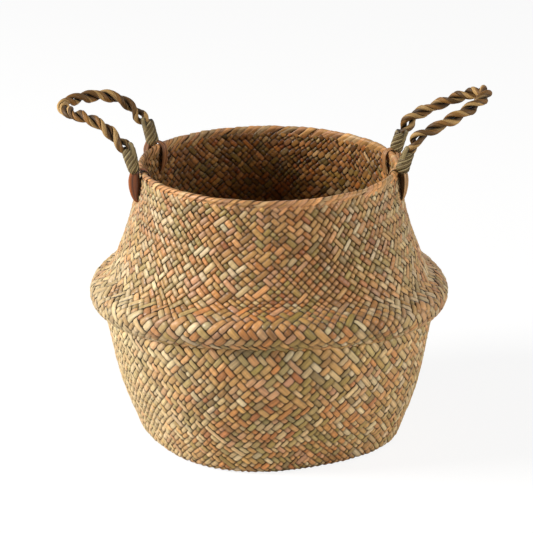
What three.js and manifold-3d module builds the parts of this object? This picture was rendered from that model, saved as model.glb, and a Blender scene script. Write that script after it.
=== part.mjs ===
// A belly basket plaited from seagrass, with two rope handles.
// Millimetres, +Z up, origin at the middle of the underside, the front towards -Y.
// The wall is one plait on the real basket. It is divided here at its fold lines, because the belly
// folds there when the collar is pushed down into the bowl or pulled up out of it.
import * as THREE from 'three';
import { mergeVertices } from 'three/addons/utils/BufferGeometryUtils.js';
import Module from 'manifold-3d';

const wasm = await Module();
wasm.setup();

// Driving dimensions: the plait. Radii are to its outer face, headings are degrees up from outwards.
const wall = 3.6;
const seam = 0.35;
const floorRadius = 98;
const heelRadius = 113.5;
const heelHeight = 18;
const heelHeading = 68;
const waistRadius = 136.3;
const waistHeading = 79;
const foldDrop = 21.5;
const foldRootInset = 0.8;
const foldRootHeading = 22;
const lipRadius = 150;
const lipHeight = 130;
const neckRadius = 127.3;
const neckHeight = 160;
const neckHeading = 117;
const rimRadius = 107.4;
const rimHeight = 232;
const rimHeading = 95;

// The hand-made shape: the base is plaited square, the fold takes in this share of the bend over its lip,
// and it dips under the handles.
const squareness = 0.031;
const cornerTurn = -19.5;
const foldShare = 0.3;
const lipDip = 6.5;
const dipReachBelow = 60;
const dipReachAbove = 32;

// The border: the strips folded over the rim.
const borderHeight = 8;
const borderProud = 0.7;
const borderRound = 1.8;

// The anchors: a hairpin of strap through the wall, with one limb up the inside and one up the outside.
const strap = 1.9;
const strapClear = 0.8;
const slotDrop = 27;
const leafWidth = 9.4;
const leafTipWidth = 4;
const leafShoulderDrop = 9;

// The handles: a rope whose ends are bound, leaning out on the hinge line over its anchors.
const ropeRadius = 4.7;
const ropeFit = 0.3;
const bindingRadius = 5.6;
const bindingLength = 22;
const hingeStandOff = 6;
const hingeRise = 2.6;
const leftBendLength = 40;
const leftLoopLength = 85;
const rightBendLength = 14;
const rightLoopLength = 92;
const handles = [
  {
    side: 'left',
    facing: 180,
    frontLeg: -14,
    backLeg: 30,
    lean: 27,
    tipRise: 2,
    bendLength: leftBendLength,
    loopLength: leftLoopLength,
    squareLoop: 2.1
  },
  {
    side: 'right',
    facing: 0,
    frontLeg: -12,
    backLeg: 18,
    lean: 21,
    tipRise: 26,
    bendLength: rightBendLength,
    loopLength: rightLoopLength,
    squareLoop: 2.15
  }
];

// Fineness of the faceted solids, and how far a bend keeps to its headings, as a share of its chord.
const roundSides = 48;
const stepsPerBend = 6;
const ropeSides = 8;
const ropeSteps = 44;
const bindingSides = 12;
const bendPull = 0.38;

const group = new THREE.Group();

const straw = new THREE.MeshStandardMaterial({ color: 0xb79a68, roughness: 0.75, metalness: 0 });
const strawWarm = new THREE.MeshStandardMaterial({ color: 0xb98a5c, roughness: 0.75, metalness: 0 });
const strawPale = new THREE.MeshStandardMaterial({ color: 0xc9ab78, roughness: 0.75, metalness: 0 });
const strawGreen = new THREE.MeshStandardMaterial({ color: 0x9a9468, roughness: 0.75, metalness: 0 });
const ropeStraw = new THREE.MeshStandardMaterial({ color: 0x9c7d4c, roughness: 0.7, metalness: 0 });
const sage = new THREE.MeshStandardMaterial({ color: 0x8b8a68, roughness: 0.7, metalness: 0 });
const leafBrown = new THREE.MeshStandardMaterial({ color: 0x8a5230, roughness: 0.65, metalness: 0 });

const radians = THREE.MathUtils.degToRad;
const clamp = THREE.MathUtils.clamp;

// Profile of the wall: a cubic bend between each two knots, each leaving and arriving on its heading.
function knot(r, z, heading) {
  return { r, z, heading: radians(heading) };
}

function bend(from, to) {
  const pull = bendPull * Math.hypot(to.r - from.r, to.z - from.z);
  return new THREE.CubicBezierCurve(
    new THREE.Vector2(from.r, from.z),
    new THREE.Vector2(from.r + pull * Math.cos(from.heading), from.z + pull * Math.sin(from.heading)),
    new THREE.Vector2(to.r - pull * Math.cos(to.heading), to.z - pull * Math.sin(to.heading)),
    new THREE.Vector2(to.r, to.z)
  );
}

const waistHeight = lipHeight - foldDrop;
const foldRootHeight = waistHeight + wall * Math.cos(radians(waistHeading)) + seam;
const floorKnot = knot(floorRadius, 0, 0);
const heelKnot = knot(heelRadius, heelHeight, heelHeading);
const waistKnot = knot(waistRadius, waistHeight, waistHeading);
const foldRootKnot = knot(waistRadius - foldRootInset, foldRootHeight, foldRootHeading);
const lipKnot = knot(lipRadius, lipHeight, 90);
const neckKnot = knot(neckRadius, neckHeight, neckHeading);
const rimKnot = knot(rimRadius, rimHeight, rimHeading);

const heelBend = bend(floorKnot, heelKnot);
const flankBend = bend(heelKnot, waistKnot);
const underFoldBend = bend(foldRootKnot, lipKnot);
const overFoldBend = bend(lipKnot, neckKnot);
const collarBend = bend(neckKnot, rimKnot);

// The part of a bend between two of its parameters, as points with the outward normal at each.
function run(curve, start = 0, end = 1, steps = stepsPerBend) {
  const points = [];
  for (let i = 0; i <= steps; i++) {
    const t = start + (end - start) * i / steps;
    const point = curve.getPoint(t);
    const tangent = curve.getTangent(t);
    points.push({ r: point.x, z: point.y, nr: tangent.y, nz: -tangent.x });
  }
  return points;
}

function joinRuns(...runs) {
  return runs.flatMap((points, i) => (i === 0 ? points : points.slice(1)));
}

// The closed section of a wall of the given thickness: up its outer face and down its inner face.
function wallSection(points) {
  const inner = points.map((p) => ({ r: p.r - wall * p.nr, z: p.z - wall * p.nz }));
  return [...points, ...inner.reverse()];
}

function parameterAtHeight(curve, z) {
  let low = 0;
  let high = 1;
  for (let i = 0; i < 30; i++) {
    const middle = (low + high) / 2;
    if (curve.getPoint(middle).y < z) {
      low = middle;
    } else {
      high = middle;
    }
  }
  return (low + high) / 2;
}

function collarRadiusAt(z) {
  return collarBend.getPoint(parameterAtHeight(collarBend, Math.min(z, rimHeight))).x;
}

// Where a point of the profile lies at an azimuth, with the square base and the dipping fold.
function place(azimuth, r, z) {
  const squareShare = clamp(1 - z / waistHeight, 0, 1);
  const radius = r * (1 + squareness * squareShare * Math.cos(4 * (azimuth - radians(cornerTurn))));
  const reach = z < lipHeight ? dipReachBelow : dipReachAbove;
  const away = clamp(Math.abs(z - lipHeight) / reach, 0, 1);
  const dipShare = 0.5 * (1 + Math.cos(Math.PI * away));
  const height = z - lipDip * dipShare * Math.cos(2 * azimuth);
  return [radius * Math.cos(azimuth), radius * Math.sin(azimuth), height];
}

// A closed section taken once round the basket.
function sweepRound(section) {
  const positions = [];
  const triangles = [];
  const count = section.length;
  for (let i = 0; i < roundSides; i++) {
    const azimuth = 2 * Math.PI * i / roundSides;
    section.forEach((p) => positions.push(...place(azimuth, p.r, p.z)));
  }
  for (let i = 0; i < roundSides; i++) {
    for (let k = 0; k < count; k++) {
      const a = i * count + k;
      const b = i * count + (k + 1) % count;
      const c = ((i + 1) % roundSides) * count + k;
      const d = ((i + 1) % roundSides) * count + (k + 1) % count;
      triangles.push(a, c, d, a, d, b);
    }
  }
  const geometry = new THREE.BufferGeometry();
  geometry.setAttribute('position', new THREE.Float32BufferAttribute(positions, 3));
  geometry.setIndex(triangles);
  return weld(geometry);
}

// Shared corners merged into one, and the triangles that this leaves without area taken out.
function weld(geometry) {
  const bare = geometry.clone();
  bare.deleteAttribute('normal');
  bare.deleteAttribute('uv');
  const merged = mergeVertices(bare, 1e-4);
  const index = Array.from(merged.getIndex().array);
  const kept = [];
  for (let i = 0; i < index.length; i += 3) {
    const [a, b, c] = index.slice(i, i + 3);
    if (a !== b && b !== c && c !== a) {
      kept.push(a, b, c);
    }
  }
  merged.setIndex(kept);
  return merged;
}

function toSolid(geometry) {
  const welded = weld(geometry);
  return new wasm.Manifold(new wasm.Mesh({
    numProp: 3,
    vertProperties: new Float32Array(welded.getAttribute('position').array),
    triVerts: new Uint32Array(welded.getIndex().array)
  }));
}

function toGeometry(solid) {
  const mesh = solid.getMesh();
  const geometry = new THREE.BufferGeometry();
  geometry.setAttribute('position', new THREE.Float32BufferAttribute(mesh.vertProperties, 3));
  geometry.setIndex(Array.from(mesh.triVerts));
  return geometry;
}

function addPiece(name, geometry, material, parent = group) {
  const shaded = geometry.clone();
  shaded.computeVertexNormals();
  const mesh = new THREE.Mesh(shaded, material);
  mesh.name = name;
  parent.add(mesh);
  return mesh;
}

// The parameter that lies one seam along a bend.
function seamStep(curve) {
  return seam / curve.getLength();
}

// The base: a flat square plait, rounded at its corners.
const basePanel = [
  { r: 0, z: 0 },
  { r: floorRadius - seam, z: 0 },
  { r: floorRadius - seam, z: wall },
  { r: 0, z: wall }
];
addPiece('base_panel', sweepRound(basePanel), strawPale);

// The bowl: up from the base round the heel to the waist under the fold.
const bowlRun = joinRuns(run(heelBend), run(flankBend));
addPiece('bowl_wall', sweepRound(wallSection(bowlRun)), straw);

// The belly fold: out from the waist, round the lip and a little way up the shoulder.
const foldRun = joinRuns(run(underFoldBend), run(overFoldBend, 0, foldShare, stepsPerBend / 2));
addPiece('belly_fold', sweepRound(wallSection(foldRun)), strawWarm);

// The shoulder: the stretch that gives when the collar is pushed down or pulled up.
const shoulderRun = run(overFoldBend, foldShare + seamStep(overFoldBend), 1);
addPiece('shoulder', sweepRound(wallSection(shoulderRun)), strawGreen);

// The collar: from the neck to the border, with a slot for each anchor strap.
const borderBottom = rimHeight - borderHeight;
const collarEnd = parameterAtHeight(collarBend, borderBottom - seam);
const collarRun = run(collarBend, seamStep(collarBend), collarEnd);
let collarSolid = toSolid(sweepRound(wallSection(collarRun)));

// A strap seen from the side: its outer limb ends under the binding, and its inner limb at the rim.
const hingeRadius = rimRadius + hingeStandOff;
const hingeHeight = rimHeight + hingeRise;
const slotHeight = rimHeight - slotDrop;
const outerLimbTop = hingeHeight - bindingRadius - seam;

function innerLimb(z, thickness) {
  return new THREE.Vector2(collarRadiusAt(z) - wall - borderProud - strapClear - thickness, z);
}

function hairpinOutline() {
  const bottom = slotHeight - strap / 2;
  const windowBottom = slotHeight + strap / 2;
  const outerBottom = collarRadiusAt(slotHeight) + strapClear + strap;
  const limbSteps = 4;
  const innerFace = [];
  const wallFace = [];
  for (let i = 0; i <= limbSteps; i++) {
    innerFace.push(innerLimb(rimHeight + (bottom - rimHeight) * i / limbSteps, strap));
    wallFace.push(innerLimb(windowBottom + (rimHeight - windowBottom) * i / limbSteps, 0));
  }
  const outerLimb = [
    new THREE.Vector2(outerBottom, bottom),
    new THREE.Vector2(hingeRadius + strap / 2, outerLimbTop),
    new THREE.Vector2(hingeRadius - strap / 2, outerLimbTop),
    new THREE.Vector2(outerBottom - strap, windowBottom)
  ];
  return new THREE.Shape([...innerFace, ...outerLimb, ...wallFace]);
}

// The same strap seen from outside: a leaf that narrows to the slot.
function leafOutline() {
  const half = leafWidth / 2;
  const tip = leafTipWidth / 2;
  const bottom = slotHeight - strap;
  const shoulder = rimHeight - leafShoulderDrop;
  const shape = new THREE.Shape();
  shape.moveTo(-tip, bottom);
  shape.lineTo(tip, bottom);
  shape.quadraticCurveTo(half, (bottom + shoulder) / 2, half, shoulder);
  shape.lineTo(half, hingeHeight);
  shape.lineTo(-half, hingeHeight);
  shape.lineTo(-half, shoulder);
  shape.quadraticCurveTo(-half, (bottom + shoulder) / 2, -tip, bottom);
  return shape;
}

function anchorSolid() {
  const hairpin = new THREE.ExtrudeGeometry(hairpinOutline(), { depth: 2 * leafWidth, bevelEnabled: false });
  hairpin.translate(0, 0, -leafWidth);
  hairpin.rotateX(Math.PI / 2);
  const leaf = new THREE.ExtrudeGeometry(leafOutline(), {
    depth: 2 * rimRadius,
    bevelEnabled: false,
    curveSegments: 4
  });
  const outwards = new THREE.Vector3(1, 0, 0);
  const along = new THREE.Vector3(0, 1, 0);
  const up = new THREE.Vector3(0, 0, 1);
  leaf.applyMatrix4(new THREE.Matrix4().makeBasis(along, up, outwards));
  return toSolid(hairpin).intersect(toSolid(leaf));
}

function slotSolid(azimuth) {
  const cutter = new THREE.BoxGeometry(
    3 * wall,
    leafTipWidth + 2 * strapClear + strap,
    strap + 2 * strapClear
  );
  cutter.translate(collarRadiusAt(slotHeight) - wall / 2, 0, slotHeight);
  cutter.rotateZ(azimuth);
  return toSolid(cutter);
}

// The rope of one handle, from one leg up, out, round the tip and back to the other leg.
class HandlePath extends THREE.Curve {
  constructor(handle, halfSpan) {
    super();
    this.handle = handle;
    this.halfSpan = halfSpan;
  }

  // How far out and up the rope has come when it is this far along from its hinge line.
  outAndUp(distance) {
    const lean = radians(this.handle.lean);
    const turn = radians(90 - this.handle.tipRise) - lean;
    const radius = this.handle.bendLength / turn;
    const straight = Math.min(distance, bindingLength);
    const curved = clamp(distance - bindingLength, 0, this.handle.bendLength);
    const beyond = Math.max(distance - bindingLength - this.handle.bendLength, 0);
    const angle = lean + curved / radius;
    const out = straight * Math.sin(lean) + radius * (Math.cos(lean) - Math.cos(angle)) + beyond * Math.sin(angle);
    const up = straight * Math.cos(lean) + radius * (Math.sin(angle) - Math.sin(lean)) + beyond * Math.cos(angle);
    return [out, up];
  }

  getPoint(t, target = new THREE.Vector3()) {
    const half = 1 - Math.abs(2 * t - 1);
    const side = t < 0.5 ? -1 : 1;
    const straightShare = bindingLength / (this.handle.loopLength + this.halfSpan);
    if (half <= straightShare) {
      const distance = bindingLength * half / straightShare;
      const [out, up] = this.outAndUp(distance);
      return target.set(out, side * this.halfSpan, up);
    }
    const turn = Math.PI / 2 * (half - straightShare) / (1 - straightShare);
    const power = 2 / this.handle.squareLoop;
    const free = this.handle.loopLength - bindingLength;
    const [out, up] = this.outAndUp(bindingLength + free * Math.sin(turn) ** power);
    const across = this.halfSpan * Math.max(Math.cos(turn), 0) ** power;
    return target.set(out, side * across, up);
  }
}

function ropeGeometry(path) {
  const section = new THREE.Shape();
  for (let i = 0; i < ropeSides; i++) {
    const angle = 2 * Math.PI * i / ropeSides;
    const x = ropeRadius * Math.cos(angle);
    const y = ropeRadius * Math.sin(angle);
    if (i === 0) {
      section.moveTo(x, y);
    } else {
      section.lineTo(x, y);
    }
  }
  return weld(new THREE.ExtrudeGeometry(section, { steps: ropeSteps, extrudePath: path }));
}

// A binding: a blind sleeve round the rope's end, with a round bottom centred on the hinge line.
function bindingGeometry() {
  const bore = ropeRadius + ropeFit;
  const bottomSteps = 4;
  const points = [];
  for (let i = 0; i <= bottomSteps; i++) {
    const angle = Math.PI / 2 * (i / bottomSteps - 1);
    points.push(new THREE.Vector2(bindingRadius * Math.cos(angle), bindingRadius * Math.sin(angle)));
  }
  points[0].x = 0;
  points.push(new THREE.Vector2(bindingRadius, bindingLength));
  points.push(new THREE.Vector2(bore, bindingLength));
  points.push(new THREE.Vector2(bore, -ropeFit));
  points.push(new THREE.Vector2(0, -ropeFit));
  const geometry = new THREE.LatheGeometry(points, bindingSides);
  geometry.rotateX(Math.PI / 2);
  return weld(geometry);
}

const anchor = toGeometry(anchorSolid());
const binding = bindingGeometry();

handles.forEach((handle) => {
  const towardsBack = handle.facing === 0 ? 1 : -1;
  const front = radians(handle.facing + towardsBack * handle.frontLeg);
  const back = radians(handle.facing + towardsBack * handle.backLeg);
  const middle = (front + back) / 2;
  const halfAngle = Math.abs(back - front) / 2;
  const halfSpan = hingeRadius * Math.sin(halfAngle);
  const legs = [
    { name: 'front', azimuth: front, across: -towardsBack * halfSpan },
    { name: 'back', azimuth: back, across: towardsBack * halfSpan }
  ];
  legs.forEach((leg) => {
    collarSolid = collarSolid.subtract(slotSolid(leg.azimuth));
    const hairpin = addPiece(`anchor_strap_${handle.side}_${leg.name}`, anchor, leafBrown);
    hairpin.rotation.z = leg.azimuth;
  });
  const loop = new THREE.Group();
  loop.position.set(
    hingeRadius * Math.cos(halfAngle) * Math.cos(middle),
    hingeRadius * Math.cos(halfAngle) * Math.sin(middle),
    hingeHeight
  );
  loop.rotation.z = middle;
  group.add(loop);
  addPiece(`handle_rope_${handle.side}`, ropeGeometry(new HandlePath(handle, halfSpan)), ropeStraw, loop);
  legs.forEach((leg) => {
    const sleeve = addPiece(`binding_${handle.side}_${leg.name}`, binding, sage, loop);
    sleeve.position.y = leg.across;
    sleeve.rotation.y = radians(handle.lean);
  });
});

addPiece('collar_wall', toGeometry(collarSolid), straw);

// The border: a thicker round-edged band in which the strips are folded back over the rim.
function borderSection() {
  const outer = rimRadius + borderProud;
  const inner = rimRadius - wall - borderProud;
  const spread = collarRadiusAt(borderBottom) - rimRadius;
  return [
    { r: outer + spread, z: borderBottom },
    { r: outer, z: rimHeight - borderRound },
    { r: outer - borderRound / 3, z: rimHeight - borderRound / 3 },
    { r: outer - borderRound, z: rimHeight },
    { r: inner + borderRound, z: rimHeight },
    { r: inner + borderRound / 3, z: rimHeight - borderRound / 3 },
    { r: inner, z: rimHeight - borderRound },
    { r: inner + spread, z: borderBottom }
  ];
}
addPiece('rim_border', sweepRound(borderSection()), strawPale);

export default group;
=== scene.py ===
# %% [markdown]
# # A plaited belly basket
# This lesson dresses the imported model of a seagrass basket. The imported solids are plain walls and
# plain round ropes, so every one of them is replaced here by what the maker works with: flat dry
# leaves that run over and under each other.

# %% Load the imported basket
import math

import bpy
import numpy as np
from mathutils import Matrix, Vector


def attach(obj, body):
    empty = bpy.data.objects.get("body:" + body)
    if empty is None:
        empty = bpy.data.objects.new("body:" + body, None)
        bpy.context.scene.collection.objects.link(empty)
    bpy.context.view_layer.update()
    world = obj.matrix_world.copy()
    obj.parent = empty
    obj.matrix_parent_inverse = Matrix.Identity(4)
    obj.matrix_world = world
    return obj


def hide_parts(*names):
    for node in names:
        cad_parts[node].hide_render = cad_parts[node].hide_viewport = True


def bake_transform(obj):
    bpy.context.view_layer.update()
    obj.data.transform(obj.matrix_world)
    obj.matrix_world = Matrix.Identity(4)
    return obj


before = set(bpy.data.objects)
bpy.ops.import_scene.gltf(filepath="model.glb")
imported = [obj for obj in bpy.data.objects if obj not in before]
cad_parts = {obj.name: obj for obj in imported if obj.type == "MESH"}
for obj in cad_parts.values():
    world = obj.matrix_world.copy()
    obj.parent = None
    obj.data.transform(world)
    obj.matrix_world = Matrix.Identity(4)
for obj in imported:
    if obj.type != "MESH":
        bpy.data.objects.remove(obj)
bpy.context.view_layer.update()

random_hand = np.random.default_rng(11)

# %% [markdown]
# ## The camera
# A picture of a basket on a table is taken from a few steps away and a little above it. A long lens far
# off keeps the rim's ellipse flat and the sides nearly upright. The camera is aimed at the middle of
# the basket, and a small shift moves the picture without turning the camera.

# %% Place the camera
aim = Vector((0.0, 0.0, 0.105))
camera_distance = 2.5
camera_rise = math.radians(19.77)
camera_data = bpy.data.cameras.new("camera")
camera_data.sensor_width = 36
camera_data.lens = 202.07
camera_data.shift_x = -0.0045
camera_data.shift_y = 0.0775
camera = bpy.data.objects.new("camera", camera_data)
towards_camera = Vector((0, -math.cos(camera_rise), math.sin(camera_rise)))
camera.location = aim + camera_distance * towards_camera
camera.rotation_euler = (math.pi / 2 - camera_rise, 0, 0)
bpy.context.scene.collection.objects.link(camera)
bpy.context.scene.camera = camera
print("camera at", [round(x, 3) for x in camera.location])

# %% [markdown]
# ## The floor
# A studio sweep could be a curved sheet of paper. A large flat floor does the same for a basket that
# stands in the middle of it. It throws light back on to the basket as pale paper does. What the camera
# sees of it is paper with its own glow, which shows nearly white and still takes the basket's shadow.

# %% Lay the floor
def feed(tree, node, sockets):
    """Gives each named socket of a node its constant or its wire."""
    for name, value in sockets.items():
        if isinstance(value, bpy.types.NodeSocket):
            tree.links.new(value, node.inputs[name])
        else:
            node.inputs[name].default_value = value


def new_node(tree, kind, sockets):
    """A shader node with its constants and its wires."""
    node = tree.nodes.new(kind)
    feed(tree, node, sockets)
    return node


floor_half = 4.0
floor_mesh = bpy.data.meshes.new("floor")
floor_mesh.from_pydata(
    [(-floor_half, -floor_half, 0), (floor_half, -floor_half, 0),
     (floor_half, floor_half, 0), (-floor_half, floor_half, 0)], [], [(0, 1, 2, 3)])
floor = bpy.data.objects.new("floor", floor_mesh)
bpy.context.scene.collection.objects.link(floor)

paper = bpy.data.materials.new("floor_paper")
paper.use_nodes = True
tree = paper.node_tree
tree.nodes.clear()
paper_bounce = new_node(tree, "ShaderNodeBsdfDiffuse", {"Color": (0.8, 0.8, 0.8, 1)})
paper_face = new_node(tree, "ShaderNodeBsdfDiffuse", {"Color": (0.22, 0.22, 0.22, 1)})
paper_glow = new_node(tree, "ShaderNodeEmission", {"Strength": 0.86})
paper_sum = new_node(tree, "ShaderNodeAddShader", {0: paper_face.outputs[0], 1: paper_glow.outputs[0]})
paper_seen = new_node(tree, "ShaderNodeLightPath", {})
paper_pick = new_node(tree, "ShaderNodeMixShader", {
    0: paper_seen.outputs["Is Camera Ray"], 1: paper_bounce.outputs[0], 2: paper_sum.outputs[0]})
new_node(tree, "ShaderNodeOutputMaterial", {"Surface": paper_pick.outputs[0]})
floor_mesh.materials.append(paper)
print("floor:", 2 * floor_half, "m square")

# %% [markdown]
# ## The light
# The world is pale where the camera or a shiny face sees it, and only a faint grey as a lamp. One
# large lamp at the upper left gives the shape, as a window does. A low one at the front right keeps
# the far side readable and leaves the inside dark.

# %% Light the room
def greater_of(tree, first, second):
    """The greater of two sockets' values."""
    node = new_node(tree, "ShaderNodeMath", {0: first, 1: second})
    node.operation = "MAXIMUM"
    return node.outputs[0]


bpy.context.scene.view_settings.view_transform = "Standard"
world = bpy.data.worlds.new("studio")
bpy.context.scene.world = world
world.use_nodes = True
tree = world.node_tree
tree.nodes.clear()
room_light = new_node(tree, "ShaderNodeBackground", {"Color": (0.96, 0.98, 1.0, 1), "Strength": 0.14})
pale_wall = new_node(tree, "ShaderNodeBackground", {"Color": (0.8, 0.8, 0.8, 1), "Strength": 1.0})
seen = new_node(tree, "ShaderNodeLightPath", {})
directly = greater_of(tree, seen.outputs["Is Camera Ray"], seen.outputs["Is Glossy Ray"])
at_all = greater_of(tree, directly, seen.outputs["Is Transmission Ray"])
pick = new_node(tree, "ShaderNodeMixShader", {
    0: at_all, 1: room_light.outputs[0], 2: pale_wall.outputs[0]})
new_node(tree, "ShaderNodeOutputWorld", {"Surface": pick.outputs[0]})


def hang_lamp(name, place_at, size, power, colour):
    """A square lamp that faces the basket."""
    lamp_data = bpy.data.lights.new(name, "AREA")
    lamp_data.size = size
    lamp_data.energy = power
    lamp_data.color = colour
    lamp = bpy.data.objects.new(name, lamp_data)
    lamp.location = place_at
    lamp.rotation_euler = (aim - Vector(place_at)).to_track_quat("-Z", "Y").to_euler()
    bpy.context.scene.collection.objects.link(lamp)
    print(name, "at", place_at, power, "W")


hang_lamp("window_lamp", (-2.03, -0.45, 1.28), 0.9, 64, (1.0, 0.985, 0.96))
hang_lamp("fill_lamp", (2.1, -1.05, 0.8), 1.2, 30, (1.0, 0.98, 0.95))

# %% [markdown]
# ## The wall as one surface
# On the real basket the bowl, the belly fold and the collar are one plait, so the strips have to run
# through all of them. The wall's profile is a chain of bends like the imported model's, with the neck
# drawn in a little tighter as in the photograph, and moved in to the middle of the wall's thickness.
# The fold is only a tight turn in that line. At the bottom the line turns in over the mat's edge and
# dips into it, where the maker joins the two.

# %% Draw the wall's profile
wall_half = 2.0
waist_height = 108.5
floor_knot = (100.5, 0, 0)
heel_knot = (113.3, 19, 66)
waist_knot = (136.3, waist_height, 79)
fold_root_knot = (134.2, 111.2, 30)
lip_knot = (148.9, 130, 90)
neck_knot = (128.6, 148.8, 113)
rim_knot = (107.0, 232, 95)
wall_top = 230.5
tucked_end = np.array([(86.0, 1.0), (89.5, 2.0), (92.5, 3.3), (95.5, 2.9), (98.0, 1.9)])
points_under_mat = 4
profile_spacing = 0.5


def bend(start, end, steps=50, pull_share=0.38):
    """Points of a bend between two knots of radius, height and heading."""
    pull = pull_share * math.hypot(end[0] - start[0], end[1] - start[1])
    leave, arrive = math.radians(start[2]), math.radians(end[2])
    corners = np.array([
        start[:2],
        (start[0] + pull * math.cos(leave), start[1] + pull * math.sin(leave)),
        (end[0] - pull * math.cos(arrive), end[1] - pull * math.sin(arrive)),
        end[:2]])
    t = np.linspace(0, 1, steps)[:, None]
    shares = ((1 - t) ** 3, 3 * (1 - t) ** 2 * t, 3 * (1 - t) * t ** 2, t ** 3)
    return sum(share * corner for share, corner in zip(shares, corners))


def unit(vectors):
    """The same vectors at length 1."""
    return vectors / np.linalg.norm(vectors, axis=-1, keepdims=True)


def square_off(line):
    """The direction square to a flat line at each of its points, on the right of its heading."""
    ahead = unit(np.gradient(line, axis=0))
    return np.column_stack([ahead[:, 1], -ahead[:, 0]])


def run_along(line):
    """The way along a line at each of its points."""
    return np.concatenate([[0], np.cumsum(np.linalg.norm(np.diff(line, axis=0), axis=1))])


def evened(points, spacing):
    """The same line with points an even distance apart."""
    run = run_along(points)
    marks = np.linspace(0, run[-1], int(run[-1] / spacing) + 1)
    return np.column_stack([np.interp(marks, run, column) for column in points.T])


def softened(points, times):
    """The same line with its corners rounded, and its ends left where they are."""
    points = points.copy()
    for _ in range(times):
        points[1:-1] = (points[:-2] + 2 * points[1:-1] + points[2:]) / 4
    return points


bowl_line = np.vstack([bend(floor_knot, heel_knot), bend(heel_knot, waist_knot)])
collar_line = np.vstack([
    bend(fold_root_knot, lip_knot), bend(lip_knot, neck_knot), bend(neck_knot, rim_knot)])
collar_line = collar_line[collar_line[:, 1] < wall_top]
bowl_line, collar_line = [
    line - wall_half * square_off(line)
    for line in (evened(bowl_line, profile_spacing), evened(collar_line, profile_spacing))]
profile = np.vstack([tucked_end, bowl_line[points_under_mat:], collar_line])
profile = softened(evened(profile, profile_spacing), 8)
print("profile:", len(profile), "points, from", profile[0].round(1), "to", profile[-1].round(1))

# %% [markdown]
# ## Where a point of the wall lies
# The basket isn't quite round: its base is plaited square, and the fold dips under the handles. Each
# point of the wall gets two numbers, its azimuth and its climb. The climb is the length along the
# profile divided by the radius, so that a step of either covers the same distance on the wall. A
# grid drawn at 45 degrees on those two numbers stays square everywhere, as a real plait does.

# %% Map azimuth and climb to the wall
corner_turn = math.radians(-19.5)
corner_reach = 0.031
fold_height = 130
fold_dip = 6.5
step_lengths = np.linalg.norm(np.diff(profile, axis=0), axis=1)
mean_radii = (profile[1:, 0] + profile[:-1, 0]) / 2
climb_marks = np.concatenate([[0], np.cumsum(step_lengths / mean_radii)])
full_climb = climb_marks[-1]


def squared_radius(azimuth, radius, height):
    """A radius let out towards the corners of the square base."""
    square_share = np.clip(1 - height / waist_height, 0, 1)
    return radius * (1 + corner_reach * square_share * np.cos(4 * (azimuth - corner_turn)))


def spun(out, across, up, azimuth):
    """Points given by their way out, across and up, turned about the basket's axis to an azimuth."""
    x = out * np.cos(azimuth) - across * np.sin(azimuth)
    y = out * np.sin(azimuth) + across * np.cos(azimuth)
    return np.stack(np.broadcast_arrays(x, y, up), axis=-1)


def place(azimuth, radius, height):
    """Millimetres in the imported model's frame."""
    reach = np.where(height < fold_height, 60, 32)
    away = np.clip(np.abs(height - fold_height) / reach, 0, 1)
    dip = fold_dip * 0.5 * (1 + np.cos(np.pi * away)) * np.cos(2 * azimuth)
    return spun(squared_radius(azimuth, radius, height), 0, height - dip, azimuth)


def on_wall(azimuth, climb):
    """A point of the wall's middle surface."""
    radius = np.interp(climb, climb_marks, profile[:, 0])
    height = np.interp(climb, climb_marks, profile[:, 1])
    return place(azimuth, radius, height)


def out_of_wall(azimuth, climb, reach=0.012):
    """The direction straight out of the wall."""
    low = np.clip(climb - reach, 0, full_climb)
    high = np.clip(climb + reach, 0, full_climb)
    sideways = on_wall(azimuth + reach, climb) - on_wall(azimuth - reach, climb)
    return unit(np.cross(sideways, on_wall(azimuth, high) - on_wall(azimuth, low)))


print("full climb:", round(full_climb, 3), "radians")

# %% [markdown]
# ## Two families of strips
# Half of the strips lean left as they climb and half lean right. The leaves aren't equally wide, so
# each strip gets its own width. Where a left-leaning strip meets a right-leaning one there is a
# crossing, and everything about the plait is decided crossing by crossing.

# %% Lay out the strips
strips_each_way = 118
full_turn = 2 * math.pi
step = full_turn / strips_each_way
crossings = int(full_climb / (step / 2))


def strip_edges():
    """Where one family's strips end and the next ones start, round the basket."""
    uneven = random_hand.uniform(-0.14, 0.14, strips_each_way)
    return (np.arange(strips_each_way) - 0.5 + uneven) * step


def middle_and_width(edges, index):
    """A strip's middle and width, for any index, also after a full turn."""
    turns, within = np.divmod(index, strips_each_way)
    after = np.roll(edges, -1)
    after[-1] += full_turn
    return (edges[within] + after[within]) / 2 + turns * full_turn, (after - edges)[within]


left_edges = strip_edges()
right_edges = strip_edges()
print(strips_each_way, "strips each way,", crossings, "crossings on each")

# %% [markdown]
# ## Over and under
# A hand plait is never one pattern all over. Here and there it is a plain one over, one under. Mostly
# it is a twill, in which strips pass over two, and on the collar the right-leaning ones often pass
# over three. The wall is divided into patches, each with its own sequence, and some crossings are
# simply wrong, as they are on the real basket. The table says for each crossing whether the
# left-leaning strip is on the outside.

# %% Decide each crossing
columns = 2 * strips_each_way
sequences = {
    "plain": (1, 0),
    "even": (1, 1, 0, 0),
    "right_long": (0, 0, 1),
    "left_long": (1, 1, 0),
    "right_longest": (0, 0, 0, 1),
}


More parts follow.
